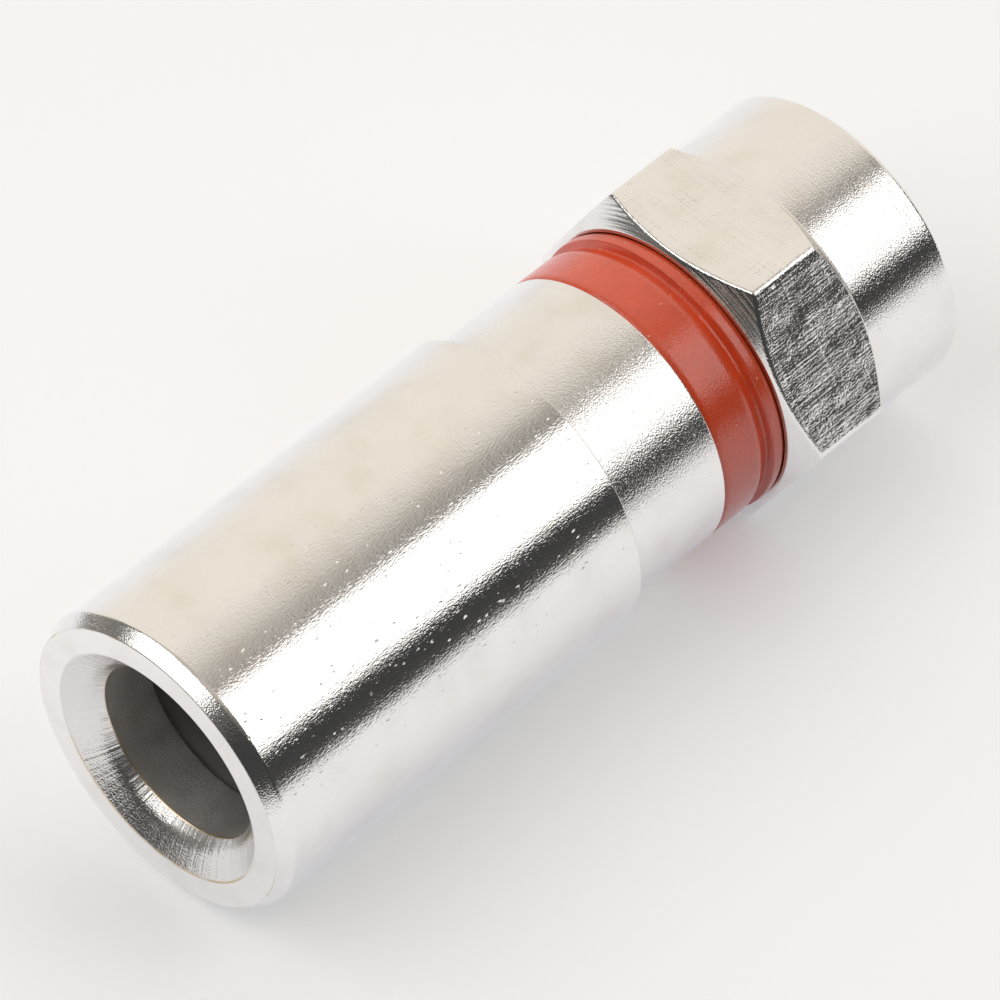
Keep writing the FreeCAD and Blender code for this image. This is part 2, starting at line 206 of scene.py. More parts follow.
class Corner:
    """One corner of an outline, the cut back that rounds it, and the finish of what follows.

    x and r are numbers, or arrays with one value for each column. finish is the finish of the side
    that leaves this corner, and edge that of the rounding itself. spacing is the longest step between
    the rows of that side.
    """

    def __init__(self, x, r, cut, finish, edge=None, spacing=1.2):
        self.x = x
        self.r = r
        self.cut = cut
        self.finish = finish
        self.edge = edge
        self.spacing = spacing


def outline_rows(corners, columns):
    """Rows of (x, r) round a closed outline, for every column, and the finish after each row.

    A corner C is cut back to A and B on its two sides and bridged by the quadratic curve
    (1 - t)^2 A + 2 t (1 - t) C + t^2 B. A holding row beside A and B, a share of the cut away, keeps
    the sides flat, and a long side gets evenly spaced rows between its holding rows. No cut is longer
    than the share most of its side.
    """
    steps, most, hold_share = 4, 0.34, 0.4
    points = np.empty((len(corners), columns, 2))
    for number, corner in enumerate(corners):
        points[number, :, 0] = corner.x
        points[number, :, 1] = corner.r
    side = np.roll(points, -1, axis=0) - points
    reach = np.linalg.norm(side, axis=2, keepdims=True)
    unit = side / reach
    rows = []
    finishes = []
    for number, corner in enumerate(corners):
        before = np.minimum(corner.cut, most * reach[number - 1])
        after = np.minimum(corner.cut, most * reach[number])
        start = points[number] - unit[number - 1] * before
        end = points[number] + unit[number] * after
        previous = corners[number - 1].finish
        rows.append(start - unit[number - 1] * before * hold_share)
        finishes.append(previous)
        for step in range(steps + 1):
            t = step / steps
            rows.append((1 - t) ** 2 * start + 2 * t * (1 - t) * points[number] + t ** 2 * end)
            finishes.append(corner.edge or corner.finish)
        finishes[-1] = corner.finish
        hold = end + unit[number] * after * hold_share
        following = corners[(number + 1) % len(corners)]
        far = np.minimum(following.cut, most * reach[number]) * (1 + hold_share)
        stop = points[number] + side[number] - unit[number] * far
        inner = max(1, int(np.ceil(np.max(reach[number]) / corner.spacing)))
        for step in range(inner):
            rows.append(hold + (stop - hold) * step / inner)
            finishes.append(corner.finish)
    return np.array(rows), finishes


def grid_faces(row_count, column_count):
    """Quads of a grid that closes on itself both ways, facing away from the metal."""
    row = np.arange(row_count)[:, None]
    column = np.arange(column_count)[None, :]
    next_row = (row + 1) % row_count
    next_column = (column + 1) % column_count
    here, ahead = row * column_count, next_row * column_count
    corners = [here + column, here + next_column, ahead + next_column, ahead + column]
    shape = (row_count, column_count)
    return np.stack([np.broadcast_to(c, shape) for c in corners], axis=-1).reshape(-1, 4)


def make_piece(name, rows, angles, finishes, rear):
    """The rows swept round X: point = (rear + x, r cos a, r sin a), one material for each finish."""
    x = (rear + rows[..., 0]) * MM
    y = rows[..., 1] * np.cos(angles) * MM
    z = rows[..., 1] * np.sin(angles) * MM
    points = np.stack([x, y, z], axis=-1).reshape(-1, 3)
    faces = grid_faces(rows.shape[0], rows.shape[1])
    mesh = bpy.data.meshes.new(name)
    mesh.from_pydata(points.tolist(), [], faces.tolist())
    names = list(dict.fromkeys(finishes))
    for finish in names:
        mesh.materials.append(finish_material(finish))
    slots = np.repeat([names.index(finish) for finish in finishes], rows.shape[1])
    mesh.polygons.foreach_set("material_index", slots.astype(np.int32))
    mesh.polygons.foreach_set("use_smooth", np.ones(len(faces), dtype=bool))
    mesh.update()
    piece = bpy.data.objects.new(name, mesh)
    bpy.context.scene.collection.objects.link(piece)
    return piece


def turned_piece(name, corners, rear):
    """A piece with the same outline all round."""
    angles = np.linspace(0.0, 2 * math.pi, COLUMNS, endpoint=False)
    rows, finishes = outline_rows(corners, COLUMNS)
    return make_piece(name, rows, angles, finishes, rear)


def stand_for(piece, node, body):
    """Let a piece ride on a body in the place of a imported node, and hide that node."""
    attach(piece, body)
    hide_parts(node)


def nut_angles():
    """Column angles of the nut, closer together near the hexagon's corners.

    Across one flat the angle from its middle is 30 degrees times (u + sin(pi u / 2)) / 2, u from
    -1 to 1, and the flats' middles stand at 30 degrees and every 60 degrees on.
    """
    u = np.linspace(-1.0, 1.0, NUT_COLUMNS_PER_FLAT, endpoint=False)
    half = math.pi / FLATS
    across = half * (u + np.sin(math.pi * u / 2)) / 2
    middles = half + 2 * half * np.arange(FLATS)
    return (middles[:, None] + across[None, :]).ravel()


def hexagon_radius(angles, half_flats, corner):
    """Distance to the hexagon, half_flats / cos of the angle off the flat, softly held to corner.

    The softer of two radii a and b is -k log(exp(-a / k) + exp(-b / k)), so it is never outside
    either of them.
    """
    half = math.pi / FLATS
    off = np.mod(angles, 2 * half) - half
    flat = half_flats / np.cos(off)
    soft = 0.02
    return -soft * np.log(np.exp(-(flat - corner) / soft) + 1.0) + corner


def thread_ridge(x, angles, pitch, height, start, end):
    """Height of the thread's ridge: a tooth with flat crest and root, up to height.

    The tooth is (w - root) / rise held between 0 and 1, w a triangle wave of x / pitch + angle / 2 pi.
    It fades in and out over half a pitch at each end, by the eased step t^2 (3 - 2 t).
    """
    root, rise = 0.16, 0.68
    phase = np.mod(x / pitch + angles / (2 * math.pi), 1.0)
    wave = 1.0 - np.abs(2.0 * phase - 1.0)
    tooth = np.clip((wave - root) / rise, 0.0, 1.0)
    fade = np.clip(np.minimum(x - start, end - x) / (0.5 * pitch), 0.0, 1.0)
    return height * tooth * fade * fade * (3 - 2 * fade)


# Node helpers


def feed(tree, node, inputs):
    """Give a node its inputs, by name or place: a socket is linked, and any other value is set."""
    for key, value in inputs.items():
        if isinstance(value, bpy.types.NodeSocket):
            tree.links.new(value, node.inputs[key])
        else:
            node.inputs[key].default_value = value


def add_node(tree, kind, inputs=None, **settings):
    """A new node with its settings and its inputs."""
    made = tree.nodes.new(kind)
    for key, value in settings.items():
        setattr(made, key, value)
    feed(tree, made, inputs or {})
    return made


def math_node(tree, operation, *values, clamp=False):
    """The result of a math node, given its values in order."""
    made = add_node(tree, "ShaderNodeMath", dict(enumerate(values)), operation=operation, use_clamp=clamp)
    return made.outputs[0]


def vector_node(tree, operation, *values):
    """The outputs of a vector math node, given its vectors in order."""
    return add_node(tree, "ShaderNodeVectorMath", dict(enumerate(values)), operation=operation).outputs


def smooth_mask(tree, value, low, high):
    """0 below low and 1 above high, with an eased step between."""
    inputs = {"Value": value, "From Min": low, "From Max": high}
    made = add_node(tree, "ShaderNodeMapRange", inputs, interpolation_type="SMOOTHSTEP")
    return made.outputs["Result"]


def scaled_colour(tree, colour, tone):
    """A colour or a vector multiplied by a number. Each of the two may be a socket."""
    made = add_node(tree, "ShaderNodeVectorMath", {0: colour, "Scale": tone}, operation="SCALE")
    return made.outputs[0]


def new_group(name, inputs, outputs):
    """An empty node group with float inputs and outputs, and its two ends."""
    group = bpy.data.node_groups.new(name, "ShaderNodeTree")
    for label, value in inputs.items():
        socket = group.interface.new_socket(name=label, in_out="INPUT", socket_type="NodeSocketFloat")
        socket.default_value = value
    for label in outputs:
        group.interface.new_socket(name=label, in_out="OUTPUT", socket_type="NodeSocketFloat")
    return group, group.nodes.new("NodeGroupInput"), group.nodes.new("NodeGroupOutput")


def millimetre_point(tree, along=1.0, across=1.0):
    """Object coordinates in millimetres, with the axis and the two cross directions scaled."""
    place = add_node(tree, "ShaderNodeTexCoord").outputs["Object"]
    scale = (along / MM, across / MM, across / MM)
    return add_node(tree, "ShaderNodeMapping", {"Vector": place, "Scale": scale}).outputs[0]


def noise_height(group, start, end, vector, scale, detail):
    """Noise read at a vector, times the group's height input, as the group's height output."""
    noise = add_node(group, "ShaderNodeTexNoise", {"Vector": vector, "Scale": scale, "Detail": detail})
    feed(group, end, {"Height": math_node(group, "MULTIPLY", noise.outputs[0], start.outputs["Height"])})


def noise_group(name, along=1.0, across=1.0, detail=2.0):
    """Noise of a given size and height, in millimetres.

    along and across scale the axis and the cross directions, and one below 1 draws the noise out.
    """
    group, start, end = new_group(name, {"Size": 0.1, "Height": 0.01}, ["Height"])
    point = millimetre_point(group, along, across)
    scale = math_node(group, "DIVIDE", 1.0, start.outputs["Size"])
    noise_height(group, start, end, point, scale, detail)
    return group


def chatter_group():
    """Marks that run down a cone: noise read at the direction from the axis, not at the radius."""
    group, start, end = new_group("tool_chatter", {"Count": 60.0, "Height": 0.01}, ["Height"])
    point = add_node(group, "ShaderNodeTexCoord").outputs["Object"]
    flat = vector_node(group, "MULTIPLY", point, (0.0, 1.0, 1.0))[0]
    outwards = vector_node(group, "NORMALIZE", flat)[0]
    noise_height(group, start, end, outwards, start.outputs["Count"], detail=3.0)
    return group


def dent_group(name, along):
    """Sparse pits: the middle of some cells of a Voronoi pattern, drawn out where along is below 1."""
    wobbles, wobble_reach = 6.0, 0.12
    inputs = {"Size": 1.0, "Radius": 0.2, "Share": 0.3, "Depth": 0.01}
    group, start, end = new_group(name, inputs, ["Height", "Mask"])
    point = millimetre_point(group, along)
    wobble = add_node(group, "ShaderNodeTexNoise", {"Vector": point, "Scale": wobbles})
    bend = scaled_colour(group, wobble.outputs["Color"], wobble_reach)
    bent = vector_node(group, "ADD", point, bend)[0]
    scale = math_node(group, "DIVIDE", 1.0, start.outputs["Size"])
    cells = add_node(group, "ShaderNodeTexVoronoi", {"Vector": bent, "Scale": scale})
    near = math_node(group, "SUBTRACT", start.outputs["Radius"], cells.outputs["Distance"])
    depth = math_node(group, "DIVIDE", near, start.outputs["Radius"], clamp=True)
    chosen = math_node(group, "LESS_THAN", cells.outputs["Color"], start.outputs["Share"])
    mask = math_node(group, "MULTIPLY", depth, chosen)
    fall = math_node(group, "MULTIPLY", mask, start.outputs["Depth"])
    feed(group, end, {"Height": math_node(group, "MULTIPLY", fall, -1.0), "Mask": mask})
    return group


def tone_group():
    """Slow changes of tone over the surface, round 1."""
    group, start, end = new_group("tone_drift", {"Size": 3.0, "Amount": 0.1}, ["Tone"])
    point = millimetre_point(group)
    scale = math_node(group, "DIVIDE", 1.0, start.outputs["Size"])
    noise = add_node(group, "ShaderNodeTexNoise", {"Vector": point, "Scale": scale, "Detail": 2.0})
    centred = math_node(group, "SUBTRACT", noise.outputs[0], 0.5)
    drift = math_node(group, "MULTIPLY", centred, start.outputs["Amount"])
    feed(group, end, {"Tone": math_node(group, "ADD", drift, 1.0)})
    return group


GROUP_MAKERS = {
    "surface_grain": lambda: noise_group("surface_grain", detail=1.5),
    "turning_lines": lambda: noise_group("turning_lines", across=0.01),
    "milling_streaks": lambda: noise_group("milling_streaks", along=0.05),
    "drawn_grain": lambda: noise_group("drawn_grain", along=0.40),
    "tool_chatter": chatter_group,
    "sparse_dents": lambda: dent_group("sparse_dents", along=1.0),
    "drawn_dents": lambda: dent_group("drawn_dents", along=0.40),
    "tone_drift": tone_group,
}


def effect(tree, name, **values):
    """One shared group placed in a material with its own values."""
    group = bpy.data.node_groups.get(name) or GROUP_MAKERS[name]()
    inputs = {key.capitalize(): value for key, value in values.items()}
    return add_node(tree, "ShaderNodeGroup", inputs, node_tree=group).outputs


# Finishes


def blank_material(name):
    """A new material with its node tree and its Principled shader."""
    material = bpy.data.materials.new(name)
    material.use_nodes = True
    tree = material.node_tree
    return material, tree, tree.nodes["Principled BSDF"]


def mixed_colour(tree, share, first, second):
    """The first colour, with the second laid over it by share. Either may be a socket."""
    # A Mix node has its own sockets for each type of data: these are the places of the colour ones
    first_input, second_input, colour_output = 6, 7, 2
    made = add_node(tree, "ShaderNodeMix", {"Factor": share}, data_type="RGBA")
    for place, colour in ((first_input, first), (second_input, second)):
        if isinstance(colour, bpy.types.NodeSocket):
            tree.links.new(colour, made.inputs[place])
        else:
            made.inputs[place].default_value = (*colour, 1.0)
    return made.outputs[colour_output]


def bump(tree, heights):
    """Heights in millimetres, added and turned into a normal."""
    total = heights[0]
    for height in heights[1:]:
        total = math_node(tree, "ADD", total, height)
    return add_node(tree, "ShaderNodeBump", {"Distance": MM, "Height": total}).outputs["Normal"]


DUST = (0.84, 0.46, 0.34)
BLACK_RUBBER = (0.03, 0.03, 0.03)
FERRULE_GREY = (0.20, 0.19, 0.17)

# Finishes of the plating. Sizes, heights and depths are millimetres, roughness drifts by up to
# spread either way, and tone brightens the metal.
PLATED = {
    "polished": dict(
        roughness=0.085,
        spread=0.03,
        effects=[
            ("drawn_grain", dict(size=0.065, height=0.0055)),
            ("surface_grain", dict(size=0.055, height=0.0028)),
            ("turning_lines", dict(size=0.06, height=0.0020)),
            ("drawn_dents", dict(size=0.20, radius=0.18, share=0.50, depth=0.0090)),
            ("sparse_dents", dict(size=0.8, radius=0.090, share=0.48, depth=0.010)),
        ],
    ),
    "satin": dict(
        roughness=0.13,
        spread=0.05,
        effects=[
            ("surface_grain", dict(size=0.062, height=0.0118)),
            ("sparse_dents", dict(size=0.5, radius=0.12, share=0.38, depth=0.009)),
        ],
    ),
    "turned": dict(
        roughness=0.085,
        spread=0.04,
        effects=[
            ("turning_lines", dict(size=0.06, height=0.0055)),
            ("surface_grain", dict(size=0.060, height=0.0085)),
            ("sparse_dents", dict(size=0.4, radius=0.11, share=0.40, depth=0.006)),
        ],
    ),
    "faced": dict(
        roughness=0.15,
        spread=0.05,
        effects=[
            ("turning_lines", dict(size=0.065, height=0.0160)),
            ("surface_grain", dict(size=0.055, height=0.0035)),
        ],
    ),
    "milled": dict(
        roughness=0.12,
        spread=0.05,
        effects=[
            ("milling_streaks", dict(size=0.095, height=0.0100)),
            ("turning_lines", dict(size=0.130, height=0.0170)),
            ("surface_grain", dict(size=0.075, height=0.0115)),
            ("surface_grain", dict(size=1.100, height=0.0600)),
            ("drawn_dents", dict(size=0.42, radius=0.16, share=0.40, depth=0.024)),
        ],
    ),
    "matt": dict(
        roughness=0.34,
        spread=0.08,
        tone=1.14,
        effects=[
            ("surface_grain", dict(size=0.060, height=0.0110)),
            ("sparse_dents", dict(size=0.8, radius=0.08, share=0.34, depth=0.010)),
        ],
    ),
    "chattered": dict(
        roughness=0.25,
        spread=0.08,
        effects=[
            ("tool_chatter", dict(count=24.0, height=0.036)),
            ("surface_grain", dict(size=0.06, height=0.0070)),
        ],
    ),
    "gouged": dict(
        roughness=0.20,
        spread=0.08,
        effects=[
            ("tool_chatter", dict(count=24.0, height=0.022)),
            ("surface_grain", dict(size=0.07, height=0.0120)),
        ],
    ),
    "bored": dict(
        roughness=0.50,
        spread=0.10,
        effects=[
            ("turning_lines", dict(size=0.12, height=0.0020)),
            ("surface_grain", dict(size=0.06, height=0.0090)),
        ],
    ),
}

# Where the drift of tone starts and ends to lay the brass bare, and how much of it shows above
WORN_EDGES = {
    "worn_edge": dict(first=0.95, full=1.35, above=1.0),
    "bare_edge": dict(first=0.50, full=0.95, above=0.70),
    "lower_edge": dict(first=0.60, full=1.05, above=0.12),
}


def plated_material(name):
    """Nickel plate: a metal with a slow drift of tone, uneven gloss and its own tool marks."""
    stain_first, stain_full = 0.90, 1.35
    finish = PLATED[name]
    metal = bpy.context.scene.plug_finish
    material, tree, shader = blank_material("plug_" + name)
    stains = effect(tree, "tone_drift", size=1.7, amount=1.0)["Tone"]
    stains = smooth_mask(tree, stains, stain_first, stain_full)
    stains = math_node(tree, "MULTIPLY", stains, metal.stained)
    plating = mixed_colour(tree, stains, metal.nickel, metal.tarnish)
    patches = effect(tree, "tone_drift", size=2.6, amount=0.08)["Tone"]
    speckle = effect(tree, "tone_drift", size=0.07, amount=0.07)["Tone"]
    tone = math_node(tree, "MULTIPLY", patches, speckle)
    tone = math_node(tree, "MULTIPLY", tone, finish.get("tone", 1.0))
    gloss = effect(tree, "tone_drift", size=0.7, amount=1.0)["Tone"]
    uneven = math_node(tree, "MULTIPLY", math_node(tree, "SUBTRACT", gloss, 1.0), finish["spread"] * 2)
    heights = [effect(tree, group, **values)["Height"] for group, values in finish["effects"]]
    feed(tree, shader, {
        "Base Color": scaled_colour(tree, plating, tone),
        "Metallic": 1.0,
        "Roughness": math_node(tree, "ADD", uneven, finish["roughness"], clamp=True),
        "Normal": bump(tree, heights),
    })
    return material


def worn_edge_material(name):
    """An edge where the plating is thin: nickel with brass showing in patches.

    A patch starts where the drift of tone passes first and is bare at full. On the upper side of the
    plug it has only the share above of its strength, and the rest comes in between two heights.
    """
    rest_starts, rest_full = -1.0 * MM, -3.2 * MM
    wear = WORN_EDGES[name]
    finish = bpy.context.scene.plug_finish
    material, tree, shader = blank_material("plug_" + name)
    patches = effect(tree, "tone_drift", size=0.6, amount=1.0)["Tone"]
    mask = smooth_mask(tree, patches, wear["first"], wear["full"])
    place = add_node(tree, "ShaderNodeTexCoord").outputs["Object"]
    height = add_node(tree, "ShaderNodeSeparateXYZ", {0: place}).outputs["Z"]
    below = smooth_mask(tree, height, rest_starts, rest_full)
    reach = math_node(tree, "MULTIPLY", below, 1.0 - wear["above"])
    reach = math_node(tree, "ADD", reach, wear["above"])
    share = math_node(tree, "MULTIPLY", math_node(tree, "MULTIPLY", mask, reach), finish.worn)
    feed(tree, shader, {
        "Base Color": mixed_colour(tree, share, finish.nickel, finish.brass),
        "Metallic": 1.0,
        "Roughness": 0.30,
    })
    return material


def rubber_material(name, colour, roughness):
    """Moulded rubber: fine grain, a slow drift of tone and a few specks of pale dust."""
    dust_first, dust_full = 0.35, 0.70
    material, tree, shader = blank_material("plug_" + name)
    patches = effect(tree, "tone_drift", size=0.9, amount=0.30)["Tone"]
    speckle = effect(tree, "tone_drift", size=0.07, amount=0.30)["Tone"]
    tone = math_node(tree, "MULTIPLY", patches, speckle)
    dust = effect(tree, "sparse_dents", size=0.34, radius=0.17, share=0.56, depth=-0.014)
    specks = smooth_mask(tree, dust["Mask"], dust_first, dust_full)
    grain = effect(tree, "surface_grain", size=0.07, height=0.0110)["Height"]
    feed(tree, shader, {
        "Base Color": mixed_colour(tree, specks, scaled_colour(tree, colour, tone), DUST),
        "Roughness": roughness,
        "Specular IOR Level": 0.85,
        "Normal": bump(tree, [grain, dust["Height"]]),
    })
    return material


def plastic_material():
    """Grey moulded plastic of the ferrule, slightly mottled."""
    material, tree, shader = blank_material("plug_ferrule_plastic")
    tone = effect(tree, "tone_drift", size=0.8, amount=0.4)["Tone"]
    grain = effect(tree, "surface_grain", size=0.09, height=0.004)["Height"]
    feed(tree, shader, {
        "Base Color": scaled_colour(tree, FERRULE_GREY, tone),
        "Roughness": 0.46,
        "Normal": bump(tree, [grain]),
    })
    return material


def finish_material(name):
    """The material of one finish, made the first time it is asked for."""
    made = bpy.data.materials.get("plug_" + name)
    if made:
        return made
    if name in PLATED:
        return plated_material(name)
    if name in WORN_EDGES:
        return worn_edge_material(name)
    if name == "red_rubber":
        return rubber_material(name, bpy.context.scene.plug_seal.colour, roughness=0.20)
    if name == "black_rubber":
        return rubber_material(name, BLACK_RUBBER, roughness=0.5)
    return plastic_material()


# Stage

# The cream wall and the grey beside it: azimuth of the middle, and the cosines of the level angle to
# it at which each starts and is full
WALL_SPAN = (37.0, 0.42, 0.62)
SIDE_SPAN = (117.0, 0.72, 0.95)
WALL = (1.04, 0.992, 0.905)
WALL_FOOT = (1.03, 1.00, 0.955)
SIDE = (0.235, 0.228, 0.215)
DARK = (0.058, 0.060, 0.062)

# The rest of the room: its colour by the height of the direction that is looked in
ROOM = (
    (0.0, (0.10, 0.10, 0.10)),
    (0.10, DARK),
    (0.55, DARK),
    (0.845, (0.27, 0.262, 0.252)),
    (0.885, (0.56, 0.53, 0.488)),
    (0.92, (0.62, 0.585, 0.53)),
)

# The floor: its reach, its paper, the lower tone with which it lights the plug, the cool tint painted
# into its reflection in metal, and the painted dark reflection that metal sees far off on the camera's
# side
FLOOR_REACH = 1.4
PAPER = (0.80, 0.80, 0.80)
PAPER_BOUNCE = (0.50, 0.50, 0.50)
PAINTED_REFLECTION_TINT = (0.95, 1.0, 1.12)
PAINTED_DARK_REFLECTION = (0.08, 0.08, 0.08)

# Lamp panels. Angles are degrees: azimuth and elevation, turn in the panel's plane, width and height.
LAMP_DISTANCE = 0.6
SOFTBOXES = {
    "right_softbox": dict(azimuth=-52.2, elevation=40.8, turn=61.0, wide=41.2, high=26.0, radiance=1.7),
    "left_softbox": dict(azimuth=153.0, elevation=49.0, turn=0.0, wide=60.0, high=30.0, radiance=1.8),
}


def direction(azimuth, elevation):
    """Unit vector at an azimuth from +X towards +Y and an elevation, in degrees."""
    a, e = math.radians(azimuth), math.radians(elevation)
    return Vector((math.cos(e) * math.cos(a), math.cos(e) * math.sin(a), math.sin(e)))


def level_side(tree, way, span, lean=0.0):
    """1 towards the middle of a span and 0 outside it, by the cosine of the level angle less lean."""
    middle, first, full = span
    level = vector_node(tree, "MULTIPLY", way, (1.0, 1.0, 0.0))[0]
    unit = vector_node(tree, "NORMALIZE", level)[0]
    facing = vector_node(tree, "DOT_PRODUCT", unit, direction(middle, 0.0))["Value"]
    return smooth_mask(tree, math_node(tree, "SUBTRACT", facing, lean), first, full)


def floor_material(low):
    """Paper that takes the plug's shadow and shows white to the camera.

    In the metal it shows a painted glow, held lower near the plug as painted shade, and past a hand's
    breadth a painted reflection of the foot of the wall, or of the dark on the camera's side, where the
    room is dark.
    """
    seen_lift, painted_reflection_glow, painted_glow_past_shade = 0.29, 0.36, 0.07
    painted_shade_start, painted_shade_end = 0.003, 0.014
    middle = (0.03, 0.0, low)
    near, far_off = 0.085, 0.15
    material = bpy.data.materials.new("floor_paper")
    material.use_nodes = True
    tree = material.node_tree
    tree.nodes.clear()
    path = add_node(tree, "ShaderNodeLightPath")
    in_camera, in_metal = path.outputs["Is Camera Ray"], path.outputs["Is Glossy Ray"]
    direct = math_node(tree, "MAXIMUM", in_camera, in_metal)
    paper = mixed_colour(tree, direct, PAPER_BOUNCE, PAPER)
    matt = add_node(tree, "ShaderNodeBsdfDiffuse", {"Color": paper})
    place = add_node(tree, "ShaderNodeTexCoord").outputs["Object"]
    aside = math_node(tree, "ABSOLUTE", add_node(tree, "ShaderNodeSeparateXYZ", {0: place}).outputs["Y"])
    # Painted shade in the reflection: metal sees less glow within a few millimetres of the plug's axis
    clear = smooth_mask(tree, aside, painted_shade_start, painted_shade_end)
    # Painted reflection: a glow on the paper that only glossy rays, and so only metal, see
    shown = math_node(tree, "ADD", math_node(tree, "MULTIPLY", clear, painted_glow_past_shade), painted_reflection_glow)
    shown = math_node(tree, "MULTIPLY", shown, in_metal)
    seen = math_node(tree, "MULTIPLY", in_camera, seen_lift)
    glow = math_node(tree, "ADD", seen, shown)
    # Painted reflection: the glow that metal sees has a cool tint, white for the camera
    tint = mixed_colour(tree, in_metal, (1.0, 1.0, 1.0), PAINTED_REFLECTION_TINT)
    lift = add_node(tree, "ShaderNodeEmission", {"Color": tint, "Strength": glow})
    both = add_node(tree, "ShaderNodeAddShader", {0: matt.outputs[0], 1: lift.outputs[0]})
    # Painted reflection: past a hand's breadth metal sees a glow in the colour of the wall's foot, or
    # dark on the camera's side, in place of the paper
    reach = vector_node(tree, "DISTANCE", place, middle)["Value"]
    painted_far_share = smooth_mask(tree, reach, near, far_off)
    painted_far_share = math_node(tree, "MULTIPLY", painted_far_share, in_metal)
    foot = mixed_colour(tree, level_side(tree, place, WALL_SPAN), PAINTED_DARK_REFLECTION, WALL_FOOT)
    far = add_node(tree, "ShaderNodeEmission", {"Color": foot})
    mixed = add_node(tree, "ShaderNodeMixShader", {0: painted_far_share, 1: both.outputs[0], 2: far.outputs[0]})
    add_node(tree, "ShaderNodeOutputMaterial", {"Surface": mixed.outputs[0]})
    return material


def add_floor(low):
    """A wide plain floor under the plug."""
    corners = [(x * FLOOR_REACH, y * FLOOR_REACH, low) for x, y in ((-1, -1), (1, -1), (1, 1), (-1, 1))]
    mesh = bpy.data.meshes.new("floor")
    mesh.from_pydata(corners, [], [(0, 1, 2, 3)])
    mesh.materials.append(floor_material(low))
    floor = bpy.data.objects.new("floor", mesh)
    bpy.context.scene.collection.objects.link(floor)


def add_softbox(name, azimuth, elevation, turn, wide, high, radiance):
    """A lamp panel that faces the plug, wide and high in degrees as seen from it, turned by turn."""
    towards = direction(azimuth, elevation)
    lamp = bpy.data.lights.new(name, "AREA")
    lamp.shape = "RECTANGLE"
    lamp.size = 2 * LAMP_DISTANCE * math.tan(math.radians(wide / 2))
    lamp.size_y = 2 * LAMP_DISTANCE * math.tan(math.radians(high / 2))
    lamp.energy = radiance * math.pi * lamp.size * lamp.size_y
    panel = bpy.data.objects.new(name, lamp)
    panel.location = towards * LAMP_DISTANCE
    panel.rotation_mode = "QUATERNION"
    turned = Quaternion((0.0, 0.0, 1.0), math.radians(turn))
    panel.rotation_quaternion = towards.to_track_quat("Z", "Y") @ turned
    panel.visible_camera = False
    bpy.context.scene.collection.objects.link(panel)


def make_world():
    """A pale studio: a cream wall behind the plug, grey beside it, dark round the camera, a grey top.

    Heights are those of a unit direction. The wall's sides lean in from lean_start up and its top
    fades out between the two heights of wall_top, as the grey's does between those of side_top.
    """
    lean_start, lean = 0.62, 1.2
    wall_top, side_top, foot_top = (0.97, 0.82), (0.60, 0.46), 0.22
    world = bpy.data.worlds.new("studio")
    bpy.context.scene.world = world
    world.use_nodes = True
    tree = world.node_tree
    tree.nodes.clear()
    way = add_node(tree, "ShaderNodeTexCoord").outputs["Generated"]
    height = add_node(tree, "ShaderNodeSeparateXYZ", {0: way}).outputs["Z"]
    room = add_node(tree, "ShaderNodeValToRGB", {"Fac": height})
    elements = room.color_ramp.elements
    # A new ramp has two stops, and the first is at 0 as it is in the room
    elements[1].position = ROOM[1][0]
    for position, _ in ROOM[2:]:
        elements.new(position)
    for element, (_, colour) in zip(elements, ROOM):
        element.color = (*colour, 1.0)
    above = math_node(tree, "MAXIMUM", math_node(tree, "SUBTRACT", height, lean_start), 0.0)
    wall = level_side(tree, way, WALL_SPAN, math_node(tree, "MULTIPLY", above, lean))
    wall = math_node(tree, "MULTIPLY", wall, smooth_mask(tree, height, *wall_top))
    cream = mixed_colour(tree, smooth_mask(tree, height, 0.0, foot_top), WALL_FOOT, WALL)
    beside = level_side(tree, way, SIDE_SPAN)
    beside = math_node(tree, "MULTIPLY", beside, smooth_mask(tree, height, *side_top))
    around = mixed_colour(tree, beside, room.outputs["Color"], SIDE)
    around = mixed_colour(tree, wall, around, cream)
    lit = add_node(tree, "ShaderNodeBackground", {"Color": around})
    seen = add_node(tree, "ShaderNodeBackground", {"Color": (1.0, 1.0, 1.0, 1.0)})
    path = add_node(tree, "ShaderNodeLightPath")
    backgrounds = {0: path.outputs["Is Camera Ray"], 1: lit.outputs[0], 2: seen.outputs[0]}
    chosen = add_node(tree, "ShaderNodeMixShader", backgrounds)
    add_node(tree, "ShaderNodeOutputWorld", {"Surface": chosen.outputs[0]})


def add_camera(stage):
    """A long lens at the stage's azimuth, elevation, roll and distance from its aim."""
    data = bpy.data.cameras.new("camera")
    data.sensor_width = 36.0
    data.lens = stage.lens
    data.clip_start = 0.02
    data.clip_end = 10.0
    camera = bpy.data.objects.new("camera", data)
    level = math.cos(stage.elevation)
    back = Vector((
        math.sin(stage.azimuth) * level,
        -math.cos(stage.azimuth) * level,
        math.sin(stage.elevation),
    ))
    right = Vector((0.0, 0.0, 1.0)).cross(back).normalized()
    turned = Matrix.Rotation(stage.roll, 3, back) @ Matrix((right, back.cross(right), back)).transposed()
    camera.matrix_world = turned.to_4x4()
    camera.location = Vector(stage.aim) + back * stage.distance
    bpy.context.scene.collection.objects.link(camera)
    bpy.context.scene.camera = camera


class PLUG_OT_stage(bpy.types.Operator):
    """Make the floor, the world, the lamps and the camera"""

    bl_idname = "plug.stage"
    bl_label = "Stage"

    def execute(self, context):
        context.scene.view_settings.view_transform = "Standard"
        add_floor(CAD_BOX[0].z)
        make_world()
        for name, softbox in SOFTBOXES.items():
            add_softbox(name, **softbox)
        add_camera(context.scene.plug_stage)
        return {"FINISHED"}


# Pieces. A corner gives x, r, cut and finish, then its own edge and spacing where they differ.


def groove(start, end, wall, floor):
    """The four corners of a square groove for a ring seal, from x start to end, in a satin wall."""
    corners = ((start, wall), (start, floor), (end, floor), (end, wall))
    return [Corner(x, r, EDGE, "satin") for x, r in corners]


